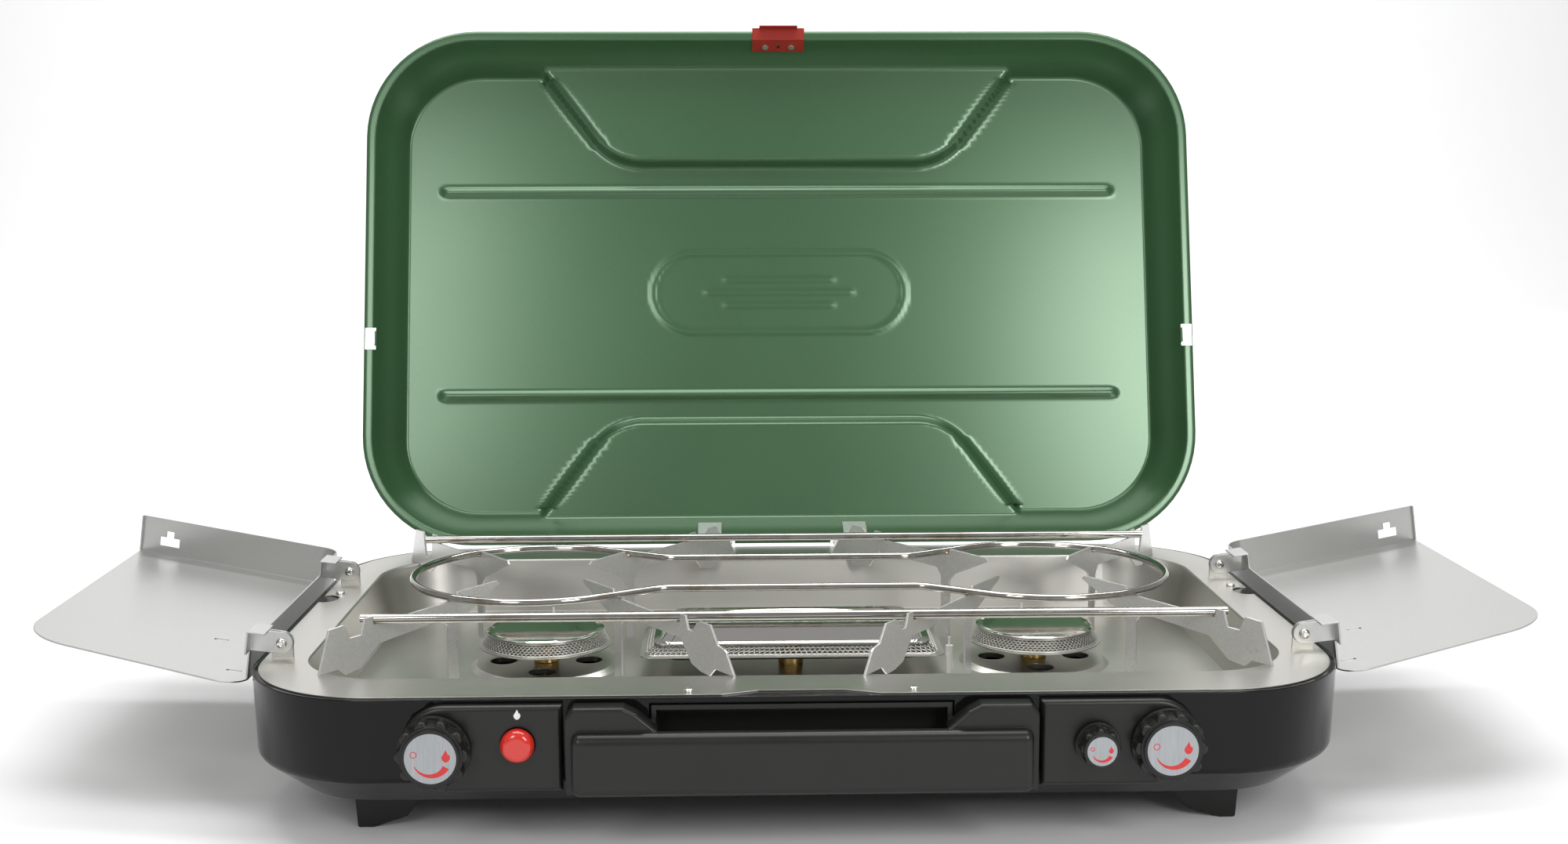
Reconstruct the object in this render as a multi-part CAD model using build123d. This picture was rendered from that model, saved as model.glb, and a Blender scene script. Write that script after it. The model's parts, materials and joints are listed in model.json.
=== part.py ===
"""Three-burner camp stove: case, pan, burners, lift-out grate, folding windscreens and hinged lid.

Millimetres, +Z up, +X to the user's right, +Y away from the user.  The parts are drawn with the
pan's rim at height 0 and the middle of the pan at x = y = 0, and are moved to the stove's own
origin (middle of its footprint, on the ground) as they are written.
"""
from build123d import *
from math import acos, atan2, cos, hypot, radians, sin
import os

# ---- driving dimensions -------------------------------------------------------------------
RIM_HEIGHT = 96.0  # pan rim above the ground
SHEET = 0.8  # pressed steel
CASE_W, CASE_D, CASE_R = 684.0, 427.0, 88.0  # case at its top edge
CASE_TOP = -0.5
CREASE_Z, CASE_BOTTOM = -51.0, -71.0
CREASE_IN, BOTTOM_IN, CREASE_R = 1.5, 27.0, 6.0
PAN_W, PAN_D, PAN_R = 676.6, 419.0, 84.0
BASIN_W, BASIN_D, BASIN_R = 620.0, 338.0, 55.0
BASIN_DEPTH, BASIN_DRAFT = 40.0, 9.0
BASIN_EDGE_R = 1.6
BURNER_X, BURNER_Y = 173.0, 3.0
BURNER_PAD_R, BURNER_PAD_HIGH = 53.0, 3.0
AIR_HOLE_R, AIR_HOLE_AT = 9.5, 30.0
LIP_R, CAP_R = 47.0, 40.5
LIP_Z, CAP_Z = -23.0, -13.5
STUB_R = 7.0
GRID_X, GRID_Y = 105.0, 43.0  # griddle burner, half size of its lip
GRATE_TOP, GRATE_Y = 27.9, 5.0
RAIL_R, RING_WIRE_R = 3.0, 2.5
RAIL_HALF, RAIL_Y = 277.0, 124.0
RING_X, RING_R = 177.0, 87.0
ROD_X, ROD_Y = 88.0, 48.0
BLADE_T = 1.5
LID_W, LID_D, LID_R = 690.0, 433.0, 90.6
LID_RIM_Z, LID_DEPTH, LID_FLANGE = 1.2, 43.0, 7.0
LID_PANEL_W, LID_PANEL_D, LID_PANEL_R = 631.0, 378.0, 64.0
LID_RIB_HALF, LID_RIB_Y, LID_RIB_R = 285.0, 88.0, 4.5
LID_PAD_RAISE, LID_PAD_BORDER = 12.0, 6.5  # pressed trapezoids at both ends of the lid
LID_OPEN = 104.15
HINGE_Y, HINGE_Z = 215.63, 2.7
HINGE_X = 60.0
PIN_R, KNUCKLE_R = 1.5, 3.0
RUN_GAP = 0.05  # radial clearance of every pin or stem that turns
WS_X, WS_Z = 326.7, 10.4  # windscreen hinge line
WS_TILT, WS_DROP, WS_T = 8.0, 28.0, 1.0
WS_RIVET_Y = (-119.8, 86.0)
RIVET_R, EAR_R = 2.0, 7.0
KNOB_BIG_X, KNOB_SMALL_X = 215.5, 174.0
KNOB_Z, PANEL_FACE_Y, DIAL_FACE_Y = -29.0, -220.0, -236.0
KNOB_DEEP, DIAL_T = PANEL_FACE_Y - DIAL_FACE_Y - 1.5, 0.6
STEM_R, STEM_HOLE_R, THROAT_R = 3.0, 7.0, 8.8
BUTTON_X, BUTTON_Z, BUTTON_R = -167.0, -26.0, 10.0
CASE_FRONT = -CASE_D / 2
FOOT_Y, FOOT_HALF = 150.0, 15.0
SCREWS = [(-67, -203), (67, -203), (-328, 56), (328, 56)]
SCREW_R, SCREW_HEAD_R = 1.5, 3.2
VENTS, VENT_SIZE = 5, (8, 120, 3.9)
PIPE_Y, PIPE_Z, PIPE_R = -193.0, -46.5, 4.0
JET_Z = -55.0
INLET_Y, INLET_Z, INLET_R, INLET_OUTER_R = -60.0, -42.0, 6.0, 9.0
ELECTRODES, ELECTRODE_R = [(-BURNER_X, 58.0), (108.0, -37.0), (BURNER_X, 58.0)], 2.5
CENTRE_Y = 59.76  # middle of the open stove's footprint, front to back

parts = {}


# ---- helpers ------------------------------------------------------------------------------
def slab(width, depth, radius, low, high, at=(0, 0)):
    """An upright rounded block between two heights."""
    outline = Pos(at[0], at[1], low) * RectangleRounded(width, depth, radius)
    return extrude(outline, high - low)


def taper(size_a, low, size_b, high, at=(0, 0)):
    """A rounded block whose (width, depth, radius) changes evenly between two heights."""
    ends = [
        Pos(at[0], at[1], z) * RectangleRounded(*size) for size, z in ((size_a, low), (size_b, high))
    ]
    return loft(ends, ruled=True)


def block(x, y, z):
    """A box from its (low, high) pair along each axis."""
    size = [abs(b - a) for a, b in (x, y, z)]
    return Pos(*[(a + b) / 2 for a, b in (x, y, z)]) * Box(*size)


def rod(a, b, radius):
    """A round bar between two points."""
    span = Vector(*b) - Vector(*a)
    return extrude(Plane(origin=a, z_dir=span) * Circle(radius), span.length)


def prism(points, way):
    """A flat outline of 3D points, thickened along the vector way."""
    face = make_face(Polyline(*points, close=True))
    return extrude(face, amount=Vector(*way).length, dir=Vector(*way).normalized())


def prism_xz(points, near, far):
    return prism([(x, near, z) for x, z in points], (0, far - near, 0))


def prism_yz(points, left, right):
    return prism([(left, y, z) for y, z in points], (right - left, 0, 0))


def turned(profile, at):
    """A profile of (radius, height) points turned about the upright axis through at."""
    face = make_face(Polyline(*[(r, 0, z) for r, z in profile], close=True))
    return Pos(at[0], at[1], 0) * revolve(face, Axis.Z)


def mirror_x(shape):
    return mirror(shape, Plane.YZ)


def add(name, shape, colour):
    """Keep a finished piece under its node name."""
    shape.label = name
    shape.color = Color(*colour)
    parts[name] = shape


BLACK, STEEL, SILVER = (0.02, 0.02, 0.02), (0.6, 0.6, 0.58), (0.7, 0.71, 0.72)
CHROME, BRASS, GREEN = (0.8, 0.8, 0.8), (0.75, 0.55, 0.25), (0.07, 0.25, 0.09)
RED, WHITE = (0.6, 0.05, 0.04), (0.9, 0.9, 0.88)


# ---- case and pan -------------------------------------------------------------------------
def case_form(inset, top, bottom):
    """The case's outside, or its inside when inset by the sheet."""
    edge = (CASE_W - 2 * inset, CASE_D - 2 * inset, CASE_R - inset)
    crease = [s - k * CREASE_IN for s, k in zip(edge, (2, 2, 1))]
    base = [s - k * BOTTOM_IN for s, k in zip(edge, (2, 2, 1))]
    form = taper(edge, top, crease, CREASE_Z) + taper(crease, CREASE_Z, base, bottom)
    bends = [e for e in form.edges() if abs(e.center().Z - CREASE_Z) < 0.01]
    return fillet(bends, CREASE_R)


def screw_holes():
    return [rod((x, y, -5), (x, y, 1), SCREW_R + RUN_GAP) for x, y in SCREWS]


def make_case():
    shell = case_form(0, CASE_TOP, CASE_BOTTOM) - case_form(SHEET, CASE_TOP + 1, CASE_BOTTOM + SHEET)
    ledge_low, ledge_wide = -2 * SHEET, 17
    ledge = slab(CASE_W - 1, CASE_D - 1, CASE_R, ledge_low, -SHEET)
    inside = (CASE_W - 2 * ledge_wide, CASE_D - 2 * ledge_wide, CASE_R - ledge_wide)
    ledge -= slab(*inside, ledge_low - 1, 0)
    shell += ledge
    front, back = CASE_FRONT - 5, CASE_FRONT + 5
    for x in (-KNOB_BIG_X, KNOB_BIG_X, KNOB_SMALL_X):
        shell -= rod((x, front, KNOB_Z), (x, back, KNOB_Z), STEM_HOLE_R)
    shell -= rod((BUTTON_X, front, BUTTON_Z), (BUTTON_X, back, BUTTON_Z), THROAT_R + 0.4)
    shell -= block((-90, 90), (front, CASE_FRONT + 12), (-49, -4))
    inlet_x = CASE_W / 2
    shell -= rod((inlet_x - 6, INLET_Y, INLET_Z), (inlet_x + 6, INLET_Y, INLET_Z), INLET_OUTER_R + 0.5)
    for side in (-1, 1):
        shell -= block((side * HINGE_X - 21, side * HINGE_X + 21), (208, 216), (-4.5, 2))
        for column in range(VENTS):
            at = (side * (90 + 40 * column), 0)
            shell -= slab(*VENT_SIZE, CASE_BOTTOM - 1, CASE_BOTTOM + 3, at)
    for hole in screw_holes():
        shell -= hole
    return shell


def make_basin():
    """The pan with its hollow, before the fittings."""
    narrow = BASIN_W - 2 * BASIN_DRAFT, BASIN_D - 2 * BASIN_DRAFT, BASIN_R - BASIN_DRAFT
    hollow = taper((BASIN_W, BASIN_D, BASIN_R), 0, narrow, -BASIN_DEPTH)
    outer_top = BASIN_W + 2 * SHEET, BASIN_D + 2 * SHEET, BASIN_R + SHEET
    outer_low = [s + k * SHEET for s, k in zip(narrow, (2, 2, 1))]
    outer = taper(outer_top, 0, outer_low, -BASIN_DEPTH)
    outer += slab(*outer_low, -BASIN_DEPTH - SHEET, -BASIN_DEPTH)
    pan = slab(PAN_W, PAN_D, PAN_R, -SHEET, 0) + outer - hollow
    rim = pan.faces().sort_by(Axis.Z)[-1].inner_wires()[0]
    return fillet(rim.edges(), BASIN_EDGE_R)


def make_pan():
    pan = make_basin()
    floor, under = -BASIN_DEPTH, -BASIN_DEPTH - 5
    pad_top = floor + BURNER_PAD_HIGH
    profile = [(0, floor), (BURNER_PAD_R, floor), (BURNER_PAD_R - 4, pad_top), (0, pad_top)]
    for side in (-1, 1):
        pan += turned(profile, (side * BURNER_X, BURNER_Y))
        for quarter in range(4):
            x = side * BURNER_X + AIR_HOLE_AT * cos(radians(90 * quarter))
            y = BURNER_Y + AIR_HOLE_AT * sin(radians(90 * quarter))
            pan -= rod((x, y, under), (x, y, pad_top + 5), AIR_HOLE_R)
        pan -= Pos(side * 335, 41, -2) * extrude(Ellipse(9, 11), 4)
        for y in WS_RIVET_Y:
            ear = block((side * WS_X - EAR_R, side * WS_X + EAR_R), (y - 0.6, y + 0.6), (-0.5, WS_Z))
            ear += rod((side * WS_X, y - 0.6, WS_Z), (side * WS_X, y + 0.6, WS_Z), EAR_R)
            pan += ear
            pan -= rod((side * WS_X, y - 2, WS_Z), (side * WS_X, y + 2, WS_Z), RIVET_R + RUN_GAP)
    for x in (-BURNER_X, 0, BURNER_X):
        pan -= rod((x, BURNER_Y, under), (x, BURNER_Y, pad_top + 5), STUB_R + 0.5)
    for x, y in ELECTRODES:
        pan -= rod((x, y, under), (x, y, floor + 5), ELECTRODE_R)
    for hole in screw_holes():
        pan -= hole
    edge = PAN_D / 2
    notch = [(-50, -edge - 1, 1), (-26, -edge + 8, 1), (26, -edge + 8, 1), (50, -edge - 1, 1)]
    return pan - prism(notch, (0, 0, -4))


def make_feet():
    for side, x_name in ((-1, "left"), (1, "right")):
        for end, y_name in ((-1, "front"), (1, "rear")):
            top, low = CASE_BOTTOM, -RIM_HEIGHT
            outline = [(275, top), (273.5, low), (264, low), (243, low + 7), (228, top)]
            y = end * FOOT_Y
            foot = prism_xz([(side * x, z) for x, z in outline], y - FOOT_HALF, y + FOOT_HALF)
            soles = foot.edges().filter_by(Axis.Y).sort_by(Axis.Z)[:3]
            add(f"foot_{y_name}_{x_name}", fillet(soles, 1.5), BLACK)


# ---- front: control panels, handle, knobs, igniter -----------------------------------------
def control_panel(side):
    """A flat panel with a round outer end, centred on the big knob's height."""
    inner, end, mid, half = 141.0, 210.0, -29.0, 26.0
    back, face = CASE_FRONT - 0.1, PANEL_FACE_Y
    panel = block((inner, end), (face, back), (mid - half, mid + half))
    panel += rod((end, back, mid), (end, face, mid), half)
    panel = fillet(panel.faces().sort_by(Axis.Y)[0].edges(), 3)
    return panel if side > 0 else mirror_x(panel)


def make_handle():
    """A forward grip between two end brackets, with the pocket for the fingers behind it."""
    low, top, front, back = -55.0, -3.0, -235.0, CASE_FRONT - 0.1
    grip_top, grip_back, grip_half = -17.0, -226.0, 135.0
    grip = block((-grip_half, grip_half), (front, grip_back), (low, grip_top))
    grip = fillet(grip.edges().filter_by(Axis.X).group_by(Axis.Y)[0], 6)
    grip = fillet(grip.edges().filter_by(Axis.Z).group_by(Axis.Y)[0], 5)
    handle = grip
    for side in (-1, 1):
        outline = [
            (85, low), (138.5, low), (138.5, top - 5), (134, top), (105, top), (97, top - 4), (85, grip_top),
        ]
        bracket = prism_xz([(side * x, z) for x, z in outline], grip_back - 1, back)
        shoulders = bracket.faces().sort_by(Axis.Y)[0].edges()
        handle += fillet([e for e in shoulders if e.center().Z > grip_top], 2)
    pocket = block((-89, 89), (back - 0.4, -199), (-48, -5)) - block((-86, 86), (back - 2, -201), (-45, -8))
    return handle + pocket


def make_knob(radius, dial, lobes):
    """A fluted knob standing on the XY plane, its dial facing +Z."""
    waist = radius - 2.5
    knob = extrude(Circle(radius), 3) + Pos(0, 0, 3) * extrude(Circle(waist), KNOB_DEEP - 5, taper=4)
    knob += Pos(0, 0, KNOB_DEEP - 2) * extrude(Circle(dial / 2 + 1.8), 2)
    bump = Pos(waist - 1.2, 0, 2) * extrude(Circle(radius * 0.17), KNOB_DEEP - 5)
    bump = fillet(bump.edges().sort_by(Axis.Z)[-1], 1.2)
    for lobe in range(lobes):
        knob += Rot(0, 0, 360 / lobes * lobe) * bump
    knob -= Pos(0, 0, KNOB_DEEP - DIAL_T) * extrude(Circle(dial / 2), 1)
    knob -= Pos(0, 0, -1) * extrude(Circle(STEM_R), KNOB_DEEP - 4)
    return knob


def make_controls():
    panels = {
        "left": ((-KNOB_BIG_X, KNOB_Z, STEM_HOLE_R), (BUTTON_X, BUTTON_Z, BUTTON_R + 0.3)),
        "right": ((KNOB_BIG_X, KNOB_Z, STEM_HOLE_R), (KNOB_SMALL_X, KNOB_Z, STEM_HOLE_R)),
    }
    for name, holes in panels.items():
        panel = control_panel(-1 if name == "left" else 1)
        for x, z, radius in holes:
            panel -= rod((x, -240, z), (x, -200, z), radius)
        add(f"control_panel_{name}", panel, BLACK)
    add("carry_handle", make_handle(), BLACK)
    knobs = (
        ("left", -KNOB_BIG_X, 21.5, 30.0, 10),
        ("right", KNOB_BIG_X, 21.5, 30.0, 10),
        ("centre", KNOB_SMALL_X, 13.5, 17.5, 8),
    )
    for name, x, radius, dial, lobes in knobs:
        place = Pos(x, PANEL_FACE_Y - 1.5, KNOB_Z) * Rot(90, 0, 0)
        foil = extrude(Circle(dial / 2), DIAL_T)
        add(f"knob_{name}", place * make_knob(radius, dial, lobes), BLACK)
        add(f"knob_{name}_dial", place * Pos(0, 0, KNOB_DEEP - DIAL_T) * foil, SILVER)
        add(f"knob_{name}_stem", rod((x, DIAL_FACE_Y + 7, KNOB_Z), (x, -186, KNOB_Z), STEM_R), BRASS)
    throat = rod((BUTTON_X, -214, BUTTON_Z), (BUTTON_X, -178, BUTTON_Z), THROAT_R)
    throat -= rod((BUTTON_X, -215, BUTTON_Z), (BUTTON_X, -190, BUTTON_Z), 4.3)
    add("igniter_body", throat, BLACK)
    dome = rod((BUTTON_X, -228, BUTTON_Z), (BUTTON_X, -221, BUTTON_Z), BUTTON_R)
    dome = fillet(dome.edges().sort_by(Axis.Y)[0], 5)
    dome += rod((BUTTON_X, -222, BUTTON_Z), (BUTTON_X, -200, BUTTON_Z), 4)
    add("igniter_button", dome, RED)


# ---- gas train ----------------------------------------------------------------------------
def make_valve(x):
    """A valve body, its jet below it pointing back into a mixer tube."""
    valve = block((x - 9, x + 9), (-206, -180), (-53, -19))
    valve = chamfer(valve.edges().filter_by(Axis.Z), 3)
    valve += block((x - 6, x + 6), (-196, -180), (-61, -52))
    valve += rod((x, -181, JET_Z), (x, -171, JET_Z), 3.5)
    valve -= rod((x, -210, KNOB_Z), (x, -185, KNOB_Z), STEM_R + RUN_GAP)
    return valve - rod((x - 12, PIPE_Y, PIPE_Z), (x + 12, PIPE_Y, PIPE_Z), PIPE_R + RUN_GAP)


def make_mixer_tube(x, burner_x):
    """A tube from in front of the jet at x to under its burner, open at both ends."""
    mouth, foot = Vector(x, -165, JET_Z), Vector(burner_x, BURNER_Y, JET_Z)
    along = (foot - mouth).normalized()
    tube = rod(tuple(mouth), tuple(foot), 8)
    tube += rod((burner_x, BURNER_Y, JET_Z - 9), (burner_x, BURNER_Y, -43), 9.5)
    tube += rod(tuple(mouth), tuple(mouth + along * 20), 10)
    tube -= rod(tuple(mouth - along * 2), tuple(foot), 6.5)
    return tube - rod((burner_x, BURNER_Y, JET_Z - 7), (burner_x, BURNER_Y, -42), 7.5)


def make_gas_train():
    valve_x = (-KNOB_BIG_X, KNOB_SMALL_X, KNOB_BIG_X)
    add("valve_bodies", Compound(children=[make_valve(x) for x in valve_x]), BRASS)
    corners = [
        (-230, PIPE_Y, PIPE_Z),
        (258, PIPE_Y, PIPE_Z),
        (300, INLET_Y, PIPE_Z),
        (316, INLET_Y, PIPE_Z),
    ]
    pipe = rod(corners[0], corners[1], PIPE_R)
    for a, b in zip(corners[1:], corners[2:]):
        pipe += Pos(*a) * Sphere(PIPE_R) + rod(a, b, PIPE_R)
    add("manifold_pipe", pipe, STEEL)
    inlet = rod((316, INLET_Y, INLET_Z), (339.2, INLET_Y, INLET_Z), INLET_OUTER_R)
    inlet -= rod((323.2, INLET_Y, INLET_Z), (345, INLET_Y, INLET_Z), INLET_R)
    add("gas_inlet", inlet, BRASS)
    for name, x, burner_x in zip(("left", "centre", "right"), valve_x, (-BURNER_X, 0, BURNER_X)):
        add(f"mixer_tube_{name}", make_mixer_tube(x, burner_x), STEEL)


# ---- burners ------------------------------------------------------------------------------
def make_round_burner(name, x):
    at, skin, bowl_low = (x, BURNER_Y), 0.9, -29
    bowl = [
        (STUB_R, bowl_low), (16, bowl_low), (LIP_R - 4, LIP_Z - skin), (LIP_R, LIP_Z - skin),
        (LIP_R, LIP_Z), (LIP_R - 4.3, LIP_Z), (15.7, bowl_low + skin), (STUB_R, bowl_low + skin),
    ]
    add(f"burner_{name}_bowl", turned(bowl, at), STEEL)
    low, high = LIP_Z, CAP_Z - 1
    ports = [(LIP_R - 3, low), (LIP_R - 2, low), (CAP_R - 0.5, high), (CAP_R - 1.5, high)]
    add(f"burner_{name}_port_ring", turned(ports, at), STEEL)
    cap = [
        (0, high), (CAP_R - 0.3, high), (CAP_R + 0.6, high + 0.6), (CAP_R + 0.6, CAP_Z),
        (CAP_R - 1, CAP_Z + 0.6), (CAP_R - 4, CAP_Z), (0, CAP_Z),
    ]
    add(f"burner_{name}_cap", turned(cap, at), CHROME)


def make_stub(x):
    """The hollow brass stem that holds a burner up, with its lock nut on the pan."""
    top, nut = -26.0, (-36.8, -32.0) if x else (-40.0, -34.0)
    stub = rod((x, BURNER_Y, -43), (x, BURNER_Y, top), STUB_R)
    stub += rod((x, BURNER_Y, nut[0]), (x, BURNER_Y, nut[1]), STUB_R + 2)
    return stub - rod((x, BURNER_Y, -44), (x, BURNER_Y, top + 1), STUB_R - 2)


def make_griddle_burner():
    at, lip_z, band_top, cap_top = (0, BURNER_Y), -24, -18, -5
    tray = slab(2 * GRID_X, 2 * GRID_Y, 8, lip_z - 1, lip_z, at)
    tray += taper((172, 50, 6), -31, (198, 74, 8), lip_z, at)
    tray -= taper((170, 48, 5), -30, (196, 72, 7), lip_z + 0.1, at)
    tray -= rod((0, BURNER_Y, -40), (0, BURNER_Y, -20), STUB_R)
    add("griddle_burner_tray", tray, STEEL)
    band = taper((204, 80, 8), lip_z, (188, 64, 7), band_top, at)
    band -= taper((202, 78, 7), lip_z - 0.1, (186, 62, 6), band_top + 0.1, at)
    add("griddle_burner_port_band", band, STEEL)
    cap = slab(192, 68, 8, band_top, band_top + 1, at)
    cap += taper((182, 58, 8), band_top + 1, (164, 42, 8), cap_top, at)
    cap -= taper((180, 56, 7), band_top - 0.1, (162, 40, 7), cap_top - 1, at)
    skin = [Pos(0, BURNER_Y, -10) * Ellipse(55, 12), Pos(0, BURNER_Y, -5.5) * Ellipse(63, 17)]
    dish = [Pos(0, BURNER_Y, -9) * Ellipse(54, 11), Pos(0, BURNER_Y, -4.9) * Ellipse(62, 16)]
    cap = cap + loft(skin, ruled=True) - loft(dish, ruled=True)
    add("griddle_burner_cap", cap, CHROME)


def make_burners():
    make_round_burner("left", -BURNER_X)
    make_round_burner("right", BURNER_X)
    make_griddle_burner()
    stubs = [make_stub(x) for x in (-BURNER_X, 0, BURNER_X)]
    add("burner_stubs", Compound(children=stubs), BRASS)
    pins = [
        rod((x, y, -45), (x, y, -18), ELECTRODE_R) + rod((x, y, -18), (x, y, -12), 0.8)
        for x, y in ELECTRODES
    ]
    add("electrodes", Compound(children=pins), WHITE)


# ---- grate --------------------------------------------------------------------------------
def ring_loop():
    """The wire that goes round both burners, drawn as one closed line swept by its section."""
    reach = hypot(RING_X - ROD_X, ROD_Y)
    tangent = atan2(ROD_Y, ROD_X - RING_X) - acos(RING_R / reach)
    touch_x, touch_y = RING_X + RING_R * cos(tangent), RING_R * sin(tangent)
    edges = []
    for side in (-1, 1):
        far = (side * (RING_X + RING_R), 0)
        edges.append(ThreePointArc((side * touch_x, touch_y), far, (side * touch_x, -touch_y)))
        for end in (-1, 1):
            edges.append(Line((side * touch_x, end * touch_y), (side * ROD_X, end * ROD_Y)))
    for end in (-1, 1):
        edges.append(Line((-ROD_X, end * ROD_Y), (ROD_X, end * ROD_Y)))
    outline = make_face(edges)
    bends = [v for v in outline.vertices() if abs(abs(v.X) - ROD_X) < 0.1]
    outline = fillet(bends, 25)
    path = (Pos(0, GRATE_Y, GRATE_TOP - RING_WIRE_R) * outline).face().outer_wire()
    return sweep(Plane(path @ 0, z_dir=path % 0) * Circle(RING_WIRE_R), path=path)


def blade_outlines():
    """Each blade's outline as (distance along it, height), from its tip over the burner."""
    under_ring, under_rail = GRATE_TOP - 2 * RING_WIRE_R, GRATE_TOP - 2 * RAIL_R
    head = [(0, 25.5), (2, GRATE_TOP), (41, GRATE_TOP), (43, under_ring), (52, under_ring)]
    leg = [(56, 12), (51, 6), (51, -38.5), (42, -38.5), (42, 4), (36, 10)]
    outlines = {}
    for y_name, slot_z in (("front", 17.5), ("rear", 7.0)):
        outlines["outer", y_name] = head + [
            (110.5, under_rail), (118.4, under_rail), (118.4, 27.5), (125, 27.5), (128.5, slot_z),
            (138, slot_z), (141.5, 25.8), (143, 26.8), (155, 26.3), (164.5, 0), (149, 0), (143, -5),
            (130, -3.5), (113, 9),
        ] + leg
        outlines["inner", y_name] = head + [
            (115.8, under_rail), (123.6, under_rail), (123.6, 27.5), (130, 27.5), (133, 19), (138, 19),
            (143.5, 26), (146, 27), (158, 27), (166, 16), (173.5, 14.5), (175.5, 13), (184, 0),
            (163, 0), (157, -5.7), (147, -5), (136.8, -2.2), (124, 12),
        ] + leg
    return outlines


def make_blade(outline, tip, foot, side, end):
    """A blade standing along the line from tip to foot, in the quarter given by side and end."""
    run = hypot(foot[0] - tip[0], foot[1] - tip[1])
    way_x, way_y = (foot[0] - tip[0]) / run, (foot[1] - tip[1]) / run
    across = Vector(side * way_y, -end * way_x, 0) * (BLADE_T / 2)
    points = []
    for s, z in outline:
        x, y = side * (tip[0] + s * way_x), GRATE_Y + end * (tip[1] + s * way_y)
        points.append((x - across.X, y - across.Y, z))
    return prism(points, tuple(across * 2))


def make_grate():
    for name, end in (("front", -1), ("rear", 1)):
        y, z = GRATE_Y + end * RAIL_Y, GRATE_TOP - RAIL_R
        add(f"grate_rail_{name}", rod((-RAIL_HALF, y, z), (RAIL_HALF, y, z), RAIL_R), CHROME)
    add("grate_ring_loop", ring_loop(), CHROME)
    outlines = blade_outlines()
    lines = {"outer": ((201.6, 30.0), (296.0, 166.0)), "inner": ((144.0, 26.0), (42.0, 174.0))}
    for kind, (tip, foot) in lines.items():
        for side, x_name in ((-1, "left"), (1, "right")):
            for end, y_name in ((-1, "front"), (1, "rear")):
                blade = make_blade(outlines[kind, y_name], tip, foot, side, end)
                add(f"grate_blade_{kind}_{y_name}_{x_name}", blade, SILVER)


# ---- windscreens --------------------------------------------------------------------------
def make_windscreen():
    """The right-hand screen about its hinge line, lying flat: x outward, y along the hinge, z up."""
    low, high = -WS_DROP, 1.5
    inner, outer, front, corner = 19.6, 182.0, -135.0, 175.0
    nose, heel, bend = (outer - 4, -84.0), (inner, front), (inner, 141.7)
    outline = make_face(Polyline(heel, nose, (outer, corner), bend, close=True))
    for place, radius in ((nose, 50), (heel, 14), (bend, 16)):
        point = outline.vertices().sort_by_distance((*place, 0))[0]
        outline = fillet(point, radius)
    sheet = Pos(0, 0, low) * extrude(outline, WS_T)
    edge = outline - offset(outline, -WS_T, kind=Kind.INTERSECTION)
    wall = Pos(0, 0, low) * extrude(edge, high - low)
    wall -= block((inner + 4, outer + 2), (front - 5, 128), (low - 1, high + 1))
    wall -= block((0, outer + 2), (front - 5, front + 16), (low - 1, high + 1))
    wall -= block((outer - 4, outer + 1), (front, corner - 3), (low - 1, high + 1))
    wall -= block((inner - 1, inner + 2), (front, 122), (-4, high + 1))
    slope = [(front + 15, low + 1.5), (-124, -4), (-124, 3), (front + 15, 3)]
    screen = sheet + wall - prism_yz(slope, inner - 1, inner + 2)
    for y in WS_RIVET_Y:
        for cheek in (-1, 1):
            near, far = sorted((y + cheek * 1.2, y + cheek * 2.4))
            screen += block((0, inner + 0.5), (near, far), (-EAR_R, EAR_R))
            screen += rod((0, near, 0), (0, far, 0), EAR_R)
            screen -= rod((0, near - 1, 0), (0, far + 1, 0), RIVET_R)
        screen += block((9, inner + WS_T), (y - 11, y + 11), (6.2, 7.2))
        screen += block((inner, inner + WS_T), (y - 11, y + 11), (-8, 6.5))
    for x, y in ((58, -40), (32, -105), (34, 70)):
        screen -= slab(10, 4, 1.9, low - 1, low + 3, (x, y))
    for half, bottom, top in ((8, -20, -13), (3, -20, -8)):
        screen -= block((158 - half, 158 + half), (corner - 10, corner + 5), (bottom, top))
    return screen


def make_windscreens():
    for side, name in ((1, "right"), (-1, "left")):
        place = Pos(WS_X, 0, WS_Z) * Rot(0, -WS_TILT, 0)
        screen = place * make_windscreen()
        rivets = []
        for y in WS_RIVET_Y:
            rivet = rod((WS_X, y - 4.4, WS_Z), (WS_X, y + 4.4, WS_Z), RIVET_R)
            for end in (-1, 1):
                head = rod((WS_X, y + end * 2.4, WS_Z), (WS_X, y + end * 4.9, WS_Z), 3.4)
                rim = head.edges().sort_by(Axis.Y)[0 if end < 0 else -1]
                rivet += fillet(rim, 2.2)
            rivets.append(rivet)
        if side < 0:
            screen = mirror_x(screen)
            rivets = [mirror_x(r) for r in rivets]
        add(f"windscreen_{name}", screen, SILVER)
        add(f"windscreen_{name}_rivets", Compound(children=rivets), CHROME)


# ---- lid ----------------------------------------------------------------------------------
def opened(shape):
    """Swing a piece drawn with the lid shut to where it stands with the lid open."""
    return Pos(0, HINGE_Y, HINGE_Z) * Rot(-LID_OPEN, 0, 0) * Pos(0, -HINGE_Y, -HINGE_Z) * shape


def lid_pads(grow, low, high):
    """Both trapezoids of the lid's pressing, between two heights, run out past the lid's ends."""
    pads = []
    for end in (-1, 1):
        corners = [(142, 111), (206, 196), (206, 240), (-206, 240), (-206, 196), (-142, 111)]
        face = make_face(Polyline(*[(x, end * y) for x, y in corners], close=True))
        near = face.vertices().sort_by(Axis.Y)
        face = fillet(near[:2] if end > 0 else near[-2:], 14)
        ends = [
            Pos(0, 0, z) * offset(face, grow + more, kind=Kind.INTERSECTION)
            for z, more in ((low, -LID_PAD_BORDER / 2), (high, LID_PAD_BORDER / 2))
        ]
        pads.append(loft(ends, ruled=True))
    return pads[0] + pads[1]


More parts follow.
